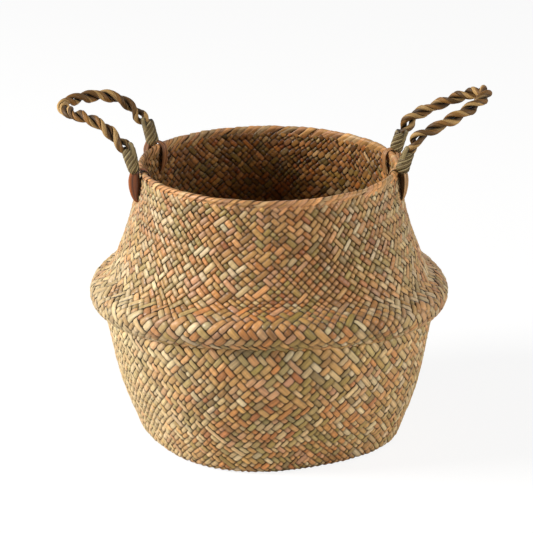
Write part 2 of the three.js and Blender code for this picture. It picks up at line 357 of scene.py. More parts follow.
def weave_table():
    """For each crossing by row and column, 1 where the left-leaning strip is outside."""
    patch_count, collar_from, wrong_share = 90, 0.62, 0.05
    patch_row = random_hand.uniform(0, crossings, patch_count)
    patch_column = random_hand.uniform(0, columns, patch_count)
    patch_look = []
    for row, column in zip(patch_row, patch_column):
        on_collar = row > collar_from * crossings
        shares = (0.03, 0.27, 0.38, 0.06, 0.26) if on_collar else (0.1, 0.58, 0.17, 0.15, 0)
        kind = random_hand.choice(list(sequences), p=shares)
        at_side = abs(math.sin(column * step / 2)) < 0.55
        upright = random_hand.random() < (0.65 if at_side else 0.3)
        patch_look.append((sequences[kind], upright, random_hand.integers(0, 4)))
    rows, cols = np.meshgrid(np.arange(crossings), np.arange(columns), indexing="ij")
    sideways = np.abs(cols[..., None] - patch_column)
    sideways = np.minimum(sideways, columns - sideways)
    owner = np.argmin((rows[..., None] - patch_row) ** 2 + (0.7 * sideways) ** 2, axis=-1)
    table = np.zeros((crossings, columns), int)
    for patch, (sequence, upright, shift) in enumerate(patch_look):
        line = (cols if upright else rows) + shift
        table = np.where(owner == patch, np.array(sequence)[line % len(sequence)], table)
    wrong = random_hand.random(table.shape) < wrong_share
    return np.where(wrong, 1 - table, table)


def strip_cells(leans_left):
    """Row and column of each crossing along each strip of a family."""
    strip = np.arange(strips_each_way)[:, None]
    row = np.arange(crossings)[None, :]
    column = 2 * strip + (-row if leans_left else row)
    return np.broadcast_to(row, column.shape), column % columns


def shorten_floats(table, longest=2, spared=0.12, longer_from=0.6):
    """Ties down nearly every strip that would run free over too many crossings."""
    changed = 0
    for leans_left in (True, False, True, False):
        rows, cols = strip_cells(leans_left)
        cells = table[rows, cols]
        for strip in range(strips_each_way):
            length = 1
            for row in range(1, crossings):
                length = length + 1 if cells[strip, row] == cells[strip, row - 1] else 1
                allowed = longest + (row > longer_from * crossings and not leans_left)
                if length > allowed and random_hand.random() > spared:
                    cells[strip, row] = 1 - cells[strip, row]
                    changed += 1
                    length = 1
        table[rows, cols] = cells
    print("tied down", changed, "long floats")


left_is_over = weave_table()
shorten_floats(left_is_over)
print("left-leaning strips outside at", round(100 * left_is_over.mean()), "% of the crossings")

# %% [markdown]
# ## The colours of the leaves
# Seagrass dries to straw, tan, peach, orange-brown, olive and grey-green, often within one bundle. A
# maker works with whatever leaf comes to hand, so the colours change from leaf to leaf. Here the pale
# leaves lie mostly at the left side and some at the right, the green ones in patches, most of them
# under the fold and low at the front, and the warm ones everywhere else. The pale patch at the left
# lies where the window lamp shines and is partly painted light: there the leaves are painted paler
# and more alike. Each colour is written as it looks, and then turned into the linear numbers that
# Blender works with. Beside it stands how many such leaves there are in a pale, a warm and a green
# bundle.

# %% Sort the leaves by colour
leaf_kinds = {
    "straw": ((206, 180, 132), (38, 7, 12)),
    "cream": ((220, 202, 162), (27, 1, 3)),
    "tan": ((190, 146, 84), (13, 26, 20)),
    "peach": ((208, 150, 94), (6, 20, 8)),
    "orange brown": ((186, 116, 56), (2, 19, 7)),
    "rust": ((160, 80, 38), (1, 3, 1)),
    "olive": ((142, 124, 58), (3, 8, 18)),
    "sage": ((156, 142, 88), (6, 4, 18)),
    "grey": ((124, 112, 72), (1, 3, 6)),
    "pinkish": ((192, 142, 106), (3, 8, 6)),
    "brown": ((136, 94, 48), (1, 9, 2)),
}
leaf_names = list(leaf_kinds)
leaf_tones = np.array([tone for tone, _ in leaf_kinds.values()]) / 255
leaf_counts = np.array([counts for _, counts in leaf_kinds.values()])
pale_shares, warm_shares, green_shares = (leaf_counts / leaf_counts.sum(axis=0)).T
bundle_likeness = 0.32


def linear(colours):
    """Colours as they look, as light."""
    colours = np.asarray(colours, float)
    return np.where(colours <= 0.04045, colours / 12.92, ((colours + 0.055) / 1.055) ** 2.4)


def bump_at(distance, width):
    """1 at no distance, falling smoothly to 0 over the width."""
    near = np.clip(1 - np.abs(distance) / width, 0, 1)
    return near * near * (3 - 2 * near)


def turn_between(azimuth, other_degrees):
    """How far an azimuth is from another one, in degrees."""
    difference = np.degrees(azimuth) - other_degrees
    return np.abs((difference + 180) % 360 - 180)


def leaf_colours(azimuth, height, draws):
    """A leaf colour for each draw between 0 and 1, by where the leaf lies."""
    lower = np.clip((165 - height) / 60, 0, 1)
    # The pale patch at the left faces the window lamp and is partly painted light: there the leaves are
    # painted paler.
    pale = (0.6 + 0.5 * lower) * bump_at(turn_between(azimuth, -168), 78)
    pale = pale + 0.5 * bump_at(turn_between(azimuth, -10), 75) + 0.07 * lower
    green = 0.6 * bump_at(height - 104, 22) + 0.7 * bump_at(height - 20, 60) * bump_at(
        turn_between(azimuth, -60), 90)
    green = green + 0.45 * np.sin(5 * azimuth + 0.6 + height / 21) * np.sin(height / 13 + 2 * azimuth)
    pale, green = np.clip(pale, 0, 1)[..., None], np.clip(green, 0, 0.8)[..., None]
    shares = pale * pale_shares + (1 - pale) * (green * green_shares + (1 - green) * warm_shares)
    bins = np.cumsum(shares, axis=-1)
    picked = np.minimum((draws[..., None] > bins).sum(axis=-1), len(leaf_tones) - 1)
    bundle_tone = shares @ linear(leaf_tones)
    # Where the leaves are pale they are painted more alike, which is partly painted light as well.
    own_way = 1 - bundle_likeness - 0.38 * pale
    return bundle_tone + own_way * (linear(leaf_tones[picked]) - bundle_tone)


print(len(leaf_tones), "leaf colours:", ", ".join(leaf_names))

# %% [markdown]
# ## A ribbon with thickness
# Every leaf in this basket is the same thing: a flat section taken along a path. A curve object with
# a bevel could do that, but thousands of over-and-under bends are easier to give as numbers. A bundle
# collects such ribbons as rings of points, joins each ring to the next, closes the ends, and becomes
# one mesh. A ribbon whose faces would point inwards has its rings turned round first. The section's
# edges are painted dark, as painted shade where little light gets in between two strips, and its crown
# a little lighter, as a painted highlight. On the wall its inner face is painted darker and browner, as
# painted shade for the dim inside of the basket. The mesh also keeps a map along and across each leaf,
# so that the fibres follow the leaf, and a second map for baking, on which the leaves lie side by side.

# %% Collect ribbons into a mesh
class Bundle:
    """Leaves that become one mesh. Rings are in millimetres."""

    def __init__(self):
        self.leaves = []

    def add(self, rings, colours, along, girth):
        """One leaf: its rings (n, k, 3), their colours, the way along it at each ring and its girth."""
        middle = rings.mean(axis=1)
        spokes = rings - middle[:, None]
        ring_area = np.cross(spokes, np.roll(spokes, -1, axis=1)).sum(axis=1)
        faces_out = (ring_area * np.gradient(middle, axis=0)).sum() > 0
        order = slice(None) if faces_out else slice(None, None, -1)
        colours = np.broadcast_to(colours, rings.shape)
        self.leaves.append((rings[:, order], colours[:, order], along, girth))

    def mesh(self, name, finish, end_margin=0.004, side_margin=0.03):
        """All leaves as one object, with their colours and both maps."""
        points, tints, faces, grain, bake = [], [], [], [], []
        first = 0
        for lane, (rings, colours, along, girth) in enumerate(self.leaves):
            count, sides = rings.shape[:2]
            points.append(rings.reshape(-1, 3) * 0.001)
            tints.append(colours.reshape(-1, 3))
            ring, side = np.meshgrid(np.arange(count - 1), np.arange(sides), indexing="ij")
            ring = np.stack([ring, ring, ring + 1, ring + 1], axis=-1).reshape(-1, 4)
            side = np.stack([side, side + 1, side + 1, side], axis=-1).reshape(-1, 4)
            faces.append(first + ring * sides + side % sides)
            start = random_hand.uniform(0, 5, 2)
            grain.append(np.stack([
                along[ring] * 0.001 + start[0], side / sides * girth * 0.001 + start[1]], axis=-1))
            share = (along - along[0]) / (along[-1] - along[0])
            bake.append(np.stack([
                end_margin + (1 - 2 * end_margin) * share[ring],
                (lane + side_margin + (1 - 2 * side_margin) * side / sides) / len(self.leaves)], axis=-1))
            k = np.arange(sides // 2 - 1)[:, None]
            cap = np.hstack([k, k + 1, sides - 2 - k, sides - 1 - k])
            for end, closing in ((0, cap[:, ::-1]), (1, cap + (count - 1) * sides)):
                faces.append(first + closing)
                grain.append(np.zeros(cap.shape + (2,)))
                at = (end_margin / 2 + (1 - end_margin) * end, (lane + 0.5) / len(self.leaves))
                bake.append(np.full(cap.shape + (2,), at))
            first += count * sides
        tints = np.vstack(tints)
        mesh = bpy.data.meshes.new(name)
        mesh.from_pydata(np.vstack(points).tolist(), [], np.vstack(faces).tolist())
        mesh.polygons.foreach_set("use_smooth", np.ones(len(mesh.polygons), bool))
        colour = mesh.color_attributes.new("leaf_colour", "FLOAT_COLOR", "POINT")
        colour.data.foreach_set("color", np.column_stack([tints, np.ones(len(tints))]).ravel())
        for map_name, values in (("grain", grain), ("OFBake", bake)):
            mesh.uv_layers.new(name=map_name).uv.foreach_set("vector", np.vstack(values).ravel())
        mesh.materials.append(finish)
        thing = bpy.data.objects.new(name, mesh)
        bpy.context.scene.collection.objects.link(thing)
        print(name + ":", len(self.leaves), "leaves,", len(mesh.polygons), "faces")
        return thing


flat_section = np.array([
    (-1.0, -0.35), (-0.9, 0.15), (-0.7, 0.56), (0.0, 0.9), (0.7, 0.56), (0.9, 0.15), (1.0, -0.35),
    (0.75, -0.55), (0.0, -0.7), (-0.75, -0.55)])
# Painted shade at the section's edges and underneath, and a painted highlight on its crown.
section_shade = np.array([0.03, 0.13, 0.88, 1.14, 0.88, 0.13, 0.03, 0.7, 1.05, 0.7])
# On the wall the inner face is painted darker and browner, as painted shade for the basket's dim inside.
inner_shade = np.array([0.78, 0.66, 0.52])
section_light_and_shade = section_shade[:, None] * np.vstack([np.ones((7, 3)), np.tile(inner_shade, (3, 1))])
print("a leaf's section has", len(flat_section), "points")

# %% [markdown]
# ## The dry leaf finish
# A dried seagrass leaf is satin, with fine fibres along it, darker and lighter streaks, and a duller
# dusty look in places. The colour of each leaf comes with the mesh. Noise stretched along the leaf
# gives its streaks and fibres, and slow noise gives its blotches. All of it follows the map along the
# leaf, so that it turns where the leaf turns.

# %% Mix the dry leaf finish
def dry_leaf(name, streak_depth, roughness, bump_depth, gloss):
    """A procedural finish that takes its colour from the leaves."""
    finish = bpy.data.materials.new(name)
    finish.use_nodes = True
    tree = finish.node_tree
    leaf = new_node(tree, "ShaderNodeVertexColor", {})
    leaf.layer_name = "leaf_colour"
    grain = new_node(tree, "ShaderNodeUVMap", {})
    grain.uv_map = "grain"

    def noise(along, across, detail):
        stretch = new_node(tree, "ShaderNodeMapping", {
            0: grain.outputs[0], "Scale": (along, across, 1)})
        return new_node(tree, "ShaderNodeTexNoise", {
            "Vector": stretch.outputs[0], "Scale": 1, "Detail": detail}).outputs["Fac"]

    def spread(value, low, high):
        """Noise, which mostly keeps between 0.3 and 0.7, spread from low to high."""
        return new_node(tree, "ShaderNodeMapRange", {
            "Value": value, "From Min": 0.3, "From Max": 0.7,
            "To Min": low, "To Max": high}).outputs["Result"]

    def times(first, second):
        product = new_node(tree, "ShaderNodeMix", {})
        product.data_type = "RGBA"
        product.blend_type = "MULTIPLY"
        feed(tree, product, {"Factor": 1, "A": first, "B": second})
        return product.outputs["Result"]

    fibres = noise(70, 1500, 4)
    blotches = noise(90, 160, 2)
    streaked = times(leaf.outputs["Color"], spread(fibres, 1 - streak_depth, 1 + streak_depth))
    bump = new_node(tree, "ShaderNodeBump", {
        "Strength": 0.6, "Distance": bump_depth * 0.001, "Height": fibres})
    feed(tree, tree.nodes["Principled BSDF"], {
        "Base Color": times(streaked, spread(blotches, 0.88, 1.1)),
        "Roughness": spread(blotches, roughness - 0.1, roughness + 0.1),
        "Specular IOR Level": gloss,
        "Normal": bump.outputs["Normal"]})
    return finish


plait_finish = dry_leaf("dry_seagrass", 0.2, 0.45, 0.25, 0.45)
print("finish:", plait_finish.name)

# %% [markdown]
# ## One strip and its crossings
# Each strip is followed from the base to the border, with four samples from one crossing to the next.
# At a crossing it lies outside or inside the wall's middle surface. Between two crossings it dives
# through the gap there, with its edges bent down. Where it stays on one side over two or three
# crossings, the float is one flat stretch of leaf, so what chance gives it holds all along it.

# %% Follow a strip
sample_steps = np.array([-0.5, -0.35, 0.0, 0.35])


def sampled(meeting, before, middle, after):
    """Values at the four samples of each crossing and at the strip's end, a row for each strip."""
    stack = np.stack([meeting, before, middle, after], axis=2)
    stack = stack.reshape((len(stack), -1) + stack.shape[3:])
    return np.concatenate([stack, middle[:, -1:]], axis=1)


def along_cells(values):
    """Values by cell as values by sample: the mean of two cells where they meet."""
    before = np.concatenate([values[:, :1], values[:, :-1]], axis=1)
    return sampled((before + values) / 2, values, values, values)


def cell_lifts(side, flat=0.97, near_dive=0.7):
    """How far out a strip lies at each sample, as a share, from its side at each crossing."""
    before = np.concatenate([side[:, :1], side[:, :-1]], axis=1)
    after = np.concatenate([side[:, 1:], side[:, -1:]], axis=1)
    return sampled(0.8 * (before + side) / 2, side * np.where(before == side, flat, near_dive),
                   side, side * np.where(after == side, flat, near_dive))


def dive_marks(side, beside=0.4):
    """1 where a strip dives between two crossings, less just beside that and 0 elsewhere."""
    dives = 1.0 * (np.diff(side, axis=1, prepend=side[:, :1], append=side[:, -1:]) != 0)
    before, after = dives[:, :-1], dives[:, 1:]
    return sampled(before, beside * before, 0 * before, beside * after)


def by_float(values, side):
    """Values by cell made the same all along each float, where a strip stays on one side."""
    changed = np.diff(side, axis=1, prepend=side[:, :1]) != 0
    first = np.maximum.accumulate(np.where(changed, np.arange(side.shape[1]), 0), axis=1)
    return values[np.arange(len(side))[:, None], first]


print(len(sample_steps), "samples from one crossing to the next")

# %% [markdown]
# ## Leaf after leaf
# A strip is longer than a leaf, so the maker lays in a new one every few crossings, and a single cell
# now and then shows another colour. Under the other family no light gets in, so a strip is painted
# darker at its edges and where it dives, as painted shade. A painted shadow darkens the basket's foot
# close to the floor, most at the front right. The bowl is painted lighter, as painted light where the
# floor throws light up on it, and the colour is a little darker again towards the top of the collar.

# %% Colour the strips
shortest_leaf, longest_leaf = 3, 10


def leaf_draws(shape, single_share=0.38):
    """One draw for each leaf along a strip, and now and then one for a single cell."""
    draws = np.empty(shape)
    for strip in draws:
        start = 0
        while start < shape[1]:
            length = random_hand.integers(shortest_leaf, longest_leaf + 1)
            strip[start:start + length] = random_hand.random()
            start += length
    single = random_hand.random(shape) < single_share
    return np.where(single, random_hand.random(shape), draws)


def cell_colours(azimuth, rings, side, dive):
    """The colour of each point of each strip."""
    crown, middles, cells = 3, slice(2, None, 4), side.shape
    height = rings[:, middles, crown, 2]
    tones = leaf_colours(azimuth[:, middles, crown], height, leaf_draws(cells))
    # The bowl is painted lighter, as painted light where the floor throws light up on it; the colour is a
    # little darker again towards the top of the collar.
    mean = np.interp(height, [95, 120, 165, 185], [1.23, 1.1, 1.1, 1.0])[..., None]
    spread = np.where(side > 0, 0.1, 0.25)[..., None]
    tones = tones * (mean + spread * random_hand.normal(0, 1, cells + (1,)))
    tones = by_float(tones * random_hand.normal(1, 0.02, cells + (3,)), side)
    # Painted shade where a strip dives under the other family, strongest at its edges.
    dive_shade = dive[..., None] * (0.45 + 0.5 * flat_section[:, 0] ** 2)
    # A painted shadow at the foot, within 4.5 mm of the floor, strongest at the front right.
    at_front_right = bump_at(turn_between(azimuth, -62), 65)
    foot = bump_at(rings[..., 2], 4.5) * (0.35 + 0.45 * at_front_right)
    shade = ((1 - dive_shade) * (1 - foot))[..., None] * section_light_and_shade
    return np.clip(along_cells(tones)[:, :, None, :] * shade, 0.005, 0.95)


print("a strip has about", round(2 * crossings / (shortest_leaf + longest_leaf)), "leaves")

# %% [markdown]
# ## Plaiting the wall
# The strips' lines drift a little, as they do under a hand, and each visible cell sits a little askew.
# The strips of each family are made in six shares, so that no mesh is too heavy.

# %% Plait the wall
strip_lift = 1.5
strip_fill = 0.555
corner_drop = 0.9


def hand_drift(azimuth, climb):
    """Slow drifts of the plait's lines, in steps."""
    return (0.30 * np.sin(3 * azimuth + 4.1 * climb + 0.6) * np.sin(2.3 * climb)
            + 0.16 * np.sin(7 * azimuth - 5.2 * climb + 1.9) + 0.10 * np.sin(13 * azimuth + 9 * climb))


def family(leans_left):
    """All strips of one family: their rings and colours."""
    forward = -1 if leans_left else 1
    side = -forward * (2.0 * left_is_over[strip_cells(leans_left)] - 1)
    own, other = (left_edges, right_edges) if leans_left else (right_edges, left_edges)
    strip = np.arange(strips_each_way)[:, None]
    row = np.arange(crossings)[None, :]
    middle, width = middle_and_width(own, strip)
    crossed_middle, crossed_width = middle_and_width(other, strip + forward * row)
    marks = crossed_middle[..., None] + forward * crossed_width[..., None] * sample_steps
    last = crossed_middle[:, -1:] + forward * crossed_width[:, -1:] / 2
    marks = np.concatenate([marks.reshape(strips_each_way, -1), last], axis=1)

    def by_chance(most):
        """A draw for each float, at most this far from 0."""
        return along_cells(by_float(random_hand.uniform(-most, most, side.shape), side))

    sit, tilt, slide = by_chance(0.2), by_chance(0.28), by_chance(0.025)
    lift, dive = cell_lifts(side), dive_marks(side)
    across = (slide[..., None] + strip_fill * flat_section[:, 0]) * width[..., None]
    own_mark, other_mark = middle[..., None] + across, marks[..., None]
    left_mark, right_mark = (own_mark, other_mark) if leans_left else (other_mark, own_mark)
    azimuth, climb = (left_mark + right_mark) / 2, (left_mark - right_mark) / 2
    azimuth = azimuth + step * hand_drift(azimuth, climb)
    climb = np.clip(climb, 0, full_climb)
    samples = np.arange(lift.shape[1])
    flatten = np.clip(np.minimum(samples / 3, 0.5 + samples[::-1] / 4), 0, 1)[None, :]
    out = (strip_lift * lift + sit) * flatten
    bent = (corner_drop * dive * flatten)[..., None]
    drop = np.sign(lift)[..., None] * bent * flat_section[:, 0] ** 2
    height = out[..., None] + tilt[..., None] * flat_section[:, 0] + flat_section[:, 1] - drop
    rings = on_wall(azimuth, climb) + out_of_wall(azimuth, climb) * height[..., None]
    rings[..., 2] = np.maximum(rings[..., 2], 0.05)
    return rings, cell_colours(azimuth, rings, side, dive)


shares_of_family = 6
cell_length = 4.7
wall_nodes = ("bowl_wall", "belly_fold", "shoulder", "collar_wall")
for leans_left in (True, False):
    rings, colours = family(leans_left)
    along = np.arange(rings.shape[1]) * cell_length / len(sample_steps)
    for share in range(shares_of_family):
        bundle = Bundle()
        for strip in range(share, strips_each_way, shares_of_family):
            bundle.add(rings[strip], colours[strip], along, girth=2.2 * cell_length)
        name = f"strips_leaning_{'left' if leans_left else 'right'}_{share + 1}"
        plaited = bundle.mesh(name, plait_finish)
        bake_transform(plaited)
        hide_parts(*wall_nodes)

# %% [markdown]
# ## The mat under the basket
# The base is a flat mat that the maker plaits first. Its strips cross at right angles and run from
# corner to corner of the square base. It is made of straight ribbons cut off at the mat's edge, in the
# same over-and-under way, a little thinner because the strips are pulled tight there. A strip's side
# is 1 where it is the lower of the two, which is outside here.

# %% Plait the mat
mat_edge = 95.6
mat_pitch = 5.5
mat_height = 1.25
mat_lift = 0.55
mat_squeeze = 0.85
mat_fill = 0.95


def mat_reach(offset):
    """How far a strip of the mat runs each way when it lies this far from the middle."""
    angle = np.linspace(0, math.pi / 2, 200)
    edge = mat_edge * (1 + corner_reach * np.cos(4 * angle))
    return np.interp(abs(offset), edge * np.sin(angle), edge * np.cos(angle))


mat = Bundle()
mat_count = int(mat_edge / mat_pitch)
for flipped in (False, True):
    for own in range(-mat_count, mat_count + 1):
        offset = own * mat_pitch + random_hand.uniform(-0.3, 0.3)
        reach = mat_reach(offset)
        others = np.arange(-int(reach / mat_pitch), int(reach / mat_pitch) + 1)
        below = (own + others) % 4 < 2
        side = np.where(below != flipped, 1.0, -1.0)[None, :]
        marks = (others[:, None] + sample_steps).ravel() * mat_pitch
        marks = np.clip(np.append(marks, marks[-1] + 0.2 * mat_pitch), -reach, reach)
        lift = -mat_lift * cell_lifts(side)[0]
        across = offset + flat_section[:, 0] * mat_pitch / 2 * mat_fill
        tall = mat_height + lift[:, None] + mat_squeeze * flat_section[:, 1]
        first, second = (across, marks[:, None]) if flipped else (marks[:, None], across)
        rings = spun(first, second, tall, corner_turn)
        draws = leaf_draws(side.shape)
        tones = leaf_colours(np.full(side.shape, math.pi), np.full(side.shape, 60.0), draws)
        tones = along_cells(tones * random_hand.normal(0.97, 0.08, side.shape + (1,)))[0]
        # The mat's strips take the section's painted shade at their edges and painted highlight on their
        # crowns.
        mat.add(rings, tones[:, None, :] * section_shade[:, None], marks - marks[0], girth=12.0)
base_mat = mat.mesh("base_mat", plait_finish)
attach(base_mat, "bowl")
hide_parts("base_panel")

# %% [markdown]
# ## The border
# At the rim the strip ends are folded over the edge one after the other, each lying slantwise on
# the next, like a row of leaning books. Each fold is a ribbon that comes up the outside, turns over the
# rim and goes down the inside, moving on round the basket as it goes. One long edge stands a little
# proud and the other is tucked under its neighbour.

# %% Fold the border
rim_outer, rim_inner = 107.4, 103.8
rim_middle = (rim_outer + rim_inner) / 2
lower_outer, lower_by = 109.6, 12
fold_half = 1.7
outer_foot, inner_foot, rim_top = 225.0, 221.5, 231.9
fold_slope = math.radians(36)
fold_overlap = 1.18
fold_leaves = ("straw", "tan", "peach", "peach", "pinkish")


def border_path(steps_up=7, steps_round=8, steps_down=9):
    """The fold's line in radius and height, from its outer foot over the rim to its inner foot."""
    lean = (lower_outer - rim_outer) / lower_by
    turn = np.linspace(0, math.pi, steps_round)
    top = rim_top - fold_half
    up = np.linspace(outer_foot, top, steps_up, endpoint=False)
    down = np.linspace(top, inner_foot, steps_down + 1)[1:]
    outside = np.column_stack([rim_middle + fold_half + lean * (top - up), up])
    over = np.column_stack([rim_middle + fold_half * np.cos(turn), top + fold_half * np.sin(turn)])
    inside = np.column_stack([rim_middle - fold_half + lean * (top - down), down])
    return softened(np.vstack([outside, over, inside]), 1)


fold_line = border_path()
fold_out, fold_run = square_off(fold_line), run_along(fold_line)
shingle = np.array([
    (-0.82, -0.55), (-0.38, 0.1), (0.08, 0.5), (0.42, 0.74), (0.62, 0.5),
    (0.54, 0.05), (0.1, -0.3), (-0.38, -0.6)])
# Across each fold: painted shade at its low edge and underneath, between the folds, and a painted
# highlight on its crown.
shingle_shade = np.array([0.1, 0.75, 1.02, 1.08, 0.3, 0.3, 0.5, 0.4])
fold_end = fold_run[-1]
peach = linear(leaf_tones[leaf_names.index("peach")])
border = Bundle()
for fold in range(strips_each_way):
    start = (fold + random_hand.uniform(-0.15, 0.15)) * step
    slope = fold_slope + 0.07 * math.sin(fold * 0.7) + random_hand.uniform(-0.03, 0.03)
    moved = fold_run / math.tan(slope) / rim_middle
    sit = random_hand.uniform(-0.2, 0.5)
    shows = random_hand.uniform(2.6, 4.3)
    tuck = np.interp(fold_run, [0, shows, shows + 1.2, fold_end - 3, fold_end],
                     [-1.7, -1.5, 0, 0, -0.7])
    pinch = np.interp(fold_run, [0, 2.5, fold_end - 2.5, fold_end], [0.85, 1, 1, 0.9])[:, None]
    azimuth = start + moved[:, None] + shingle[:, 0] * pinch * step * fold_overlap
    rise = (sit + tuck)[:, None] + 0.75 * shingle[:, 1] * (0.6 + 0.4 * pinch)
    rings = spun(fold_line[:, :1] + fold_out[:, :1] * rise, 0, fold_line[:, 1:] + fold_out[:, 1:] * rise,
                 azimuth)
    tone = linear(leaf_tones[leaf_names.index(random_hand.choice(fold_leaves))])
    tone = (0.55 * tone + 0.45 * peach) * random_hand.normal(0.98, 0.17)
    border.add(rings, tone * shingle_shade[None, :, None], fold_run, girth=11.0)
rim_folds = border.mesh("rim_folds", plait_finish)
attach(rim_folds, "collar")
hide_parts("rim_border")

# %% [markdown]
# ## The line of a handle
# A handle stands up and out on its two bound ends and turns round at its tip. Its line is the packed
# model's, with the tips set a little closer to the photograph. Near each end it is drawn over into
# the sleeve of leaf that binds it, which stands more upright. Front and back are where the two ends
# stand round the basket. They are in degrees, as the leans and the tips are.

# %% Draw the line of a handle
hinge_radius, hinge_height, binding_length = 113.4, 234.6, 22.0
handle_facts = {
    "left": dict(front=194, back=150, lean=28.5, tip=-0.5, bend=42, loop=84.5, square=1.95),
    "right": dict(front=-12, back=18, lean=19.5, tip=25.5, bend=10, loop=92, square=2.2),
}
sleeve_facts = {
    "left_front": dict(low=4.5, high=5.5, length=18.5, lean=15, moved_in=0.3, curl=2.5),
    "left_back": dict(low=5.3, high=5.1, length=16.5, lean=14, moved_in=0.3, curl=1.1),
    "right_front": dict(low=5.5, high=4.9, length=14.5, lean=19, moved_in=2.0, curl=-2.3),
    "right_back": dict(low=5.2, high=5.1, length=14.0, lean=17, moved_in=1.6, curl=-0.9),
}


def out_and_up(facts, distance):
    """How far out and up a handle has come at this distance from its hinge line."""
    lean = math.radians(facts["lean"])
    turn = math.radians(90 - facts["tip"]) - lean
    radius = facts["bend"] / turn
    straight = np.minimum(distance, binding_length)
    curved = np.clip(distance - binding_length, 0, facts["bend"])
    beyond = np.maximum(distance - binding_length - facts["bend"], 0)
    angle = lean + curved / radius
    out = straight * math.sin(lean) + radius * (math.cos(lean) - np.cos(angle)) + beyond * np.sin(angle)
    up = straight * math.cos(lean) + radius * (np.sin(angle) - math.sin(lean)) + beyond * np.cos(angle)
    return out, up


def handle_seat(facts):
    """The middle azimuth of a handle, its hinge line's distance out and its half span."""
    front, back = math.radians(facts["front"]), math.radians(facts["back"])
    half_angle = abs(back - front) / 2
    out_at, half_span = hinge_radius * math.cos(half_angle), hinge_radius * math.sin(half_angle)
    return (front + back) / 2, out_at, half_span


def handle_line(name, steps=700):
    """The rope's line from one leg to the other, drawn over to the middle of each sleeve."""
    facts = handle_facts[name]
    middle, out_at, half_span = handle_seat(facts)
    t = np.linspace(0, 1, steps)
    half = 1 - np.abs(2 * t - 1)
    sign = np.where(t < 0.5, -1, 1)
    straight_share = binding_length / (facts["loop"] + half_span)
    turn = math.pi / 2 * np.clip((half - straight_share) / (1 - straight_share), 0, 1)
    power = 2 / facts["square"]
    distance = np.where(half <= straight_share, binding_length * half / straight_share,
                        binding_length + (facts["loop"] - binding_length) * np.sin(turn) ** power)
    across = sign * half_span * np.clip(np.cos(turn), 0, 1) ** power
    out, up = out_and_up(facts, distance)
    legs = ("front", "back") if facts["front"] < facts["back"] else ("back", "front")
    for leg, on_this_leg in zip(legs, (t < 0.5, t >= 0.5)):
        form = sleeve_facts[f"{name}_{leg}"]
        lean = math.radians(form["lean"])
        freed = np.clip((distance - form["length"] + 5) / 13, 0, 1)
        inside = on_this_leg * (1 - freed * freed * (3 - 2 * freed))
        out = out + inside * (distance * math.sin(lean) - form["moved_in"] - out)
        up = up + inside * (distance * math.cos(lean) - up)
    return spun(out + out_at, across, up + hinge_height, middle)


for name in handle_facts:
    print(name, "handle:", round(run_along(handle_line(name))[-1]), "mm of rope")

# %% [markdown]
# ## The handle ropes
# Each handle is a rope of two strands laid round each other, and each strand is three leaves that
# are loosely twisted. A frame that turns as little as it can is carried along the rope's line. In it
# the strands wind round the rope, and the leaves round their strand. Points near the rope's or a
# strand's middle are darker, as no light gets there.

# %% Twist the ropes
rope_spacing = 0.8
strand_orbit, lay_length = 2.65, 31.0
leaf_orbit, leaf_turn_length = 1.45, 52.0
leaf_wide, leaf_thick = 2.0, 1.3
leaves_in_strand = 3
rope_finish = dry_leaf("rope_seagrass", 0.38, 0.5, 0.6, 0.3)
rope_tones = linear(np.array([(136, 95, 45), (98, 68, 30), (184, 146, 90)]) / 255)


def carried_frames(line):
    """Directions along and across a line that turn as little as they can."""
    ahead = unit(np.gradient(line, axis=0))
    side = np.zeros_like(line)
    side[0] = unit(np.cross(ahead[0], (0.3, 0.1, 0.9)))
    for i in range(1, len(line)):
        side[i] = unit(side[i - 1] - ahead[i] * np.dot(side[i - 1], ahead[i]))
    return ahead, side, np.cross(ahead, side)


def rope_leaf(line, strand, leaf):
    """One leaf of one strand: it winds slowly round its strand, and the strand round the rope."""
    line = evened(line, rope_spacing)
    ahead, side, up = carried_frames(line)
    run = np.arange(len(line)) * rope_spacing
    from_end = np.minimum(run, run[-1] - run)
    near_end = bump_at(from_end - 23, 8)
    hidden = np.interp(from_end, [13, 19], [0.5, 1])
    turn = full_turn * run / lay_length + math.pi * strand + 0.3 * np.sin(run / 19)
    turn_cos, turn_sin = np.cos(turn)[:, None], np.sin(turn)[:, None]
    out, beside = turn_cos * side + turn_sin * up, turn_cos * up - turn_sin * side
    orbit = strand_orbit * hidden * (1 + 0.1 * np.sin(run / 11 + 2 * strand) + 0.45 * near_end)
    middle = line + orbit[:, None] * out
    own = leaf * full_turn / leaves_in_strand + full_turn * run / leaf_turn_length
    own = own + 0.5 * np.sin(run / 13 + 2 * leaf + strand)
    loose = (leaf_orbit * hidden * (1 + 0.2 * np.sin(run / 9 + leaf)))[:, None]
    centre = middle + loose * np.cos(own)[:, None] * out + 1.2 * loose * np.sin(own)[:, None] * beside
    ahead = unit(np.gradient(centre, axis=0))
    outwards = unit(centre - middle)
    flat = unit(np.cross(ahead, outwards))
    thick = np.cross(flat, ahead)
    around = np.arange(12) * full_turn / 12
    swell = (1 + 0.1 * np.sin(run / 7 + 3 * leaf + strand))[:, None]
    rings = (centre[:, None] + (leaf_wide * swell * np.cos(around))[..., None] * flat[:, None]
             + (leaf_thick * swell * np.sin(around))[..., None] * thick[:, None])
    from_line = np.linalg.norm(rings - line[:, None], axis=-1)
    from_middle = np.linalg.norm(rings - middle[:, None], axis=-1)
    shade = np.interp(from_line, [1.8, 4.5], [0.05, 1]) * np.interp(from_middle, [1.0, 2.6], [0.12, 1])
    tone = rope_tones[leaf] * (1 + 0.15 * np.sin(run / 21 + 4 * leaf + strand))[:, None]
    return rings, np.clip(tone[:, None] * shade[..., None], 0.004, 0.9), run


for name in handle_facts:
    line = handle_line(name)
    rope = Bundle()
    for strand in range(2):
        for leaf in range(leaves_in_strand):
            rings, tints, run = rope_leaf(line, strand, leaf)
            rope.add(rings, tints, run, girth=11.0)
    twisted = rope.mesh(f"rope_{name}", rope_finish)
    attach(twisted, f"handle_{name}")
    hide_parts(f"handle_rope_{name}")
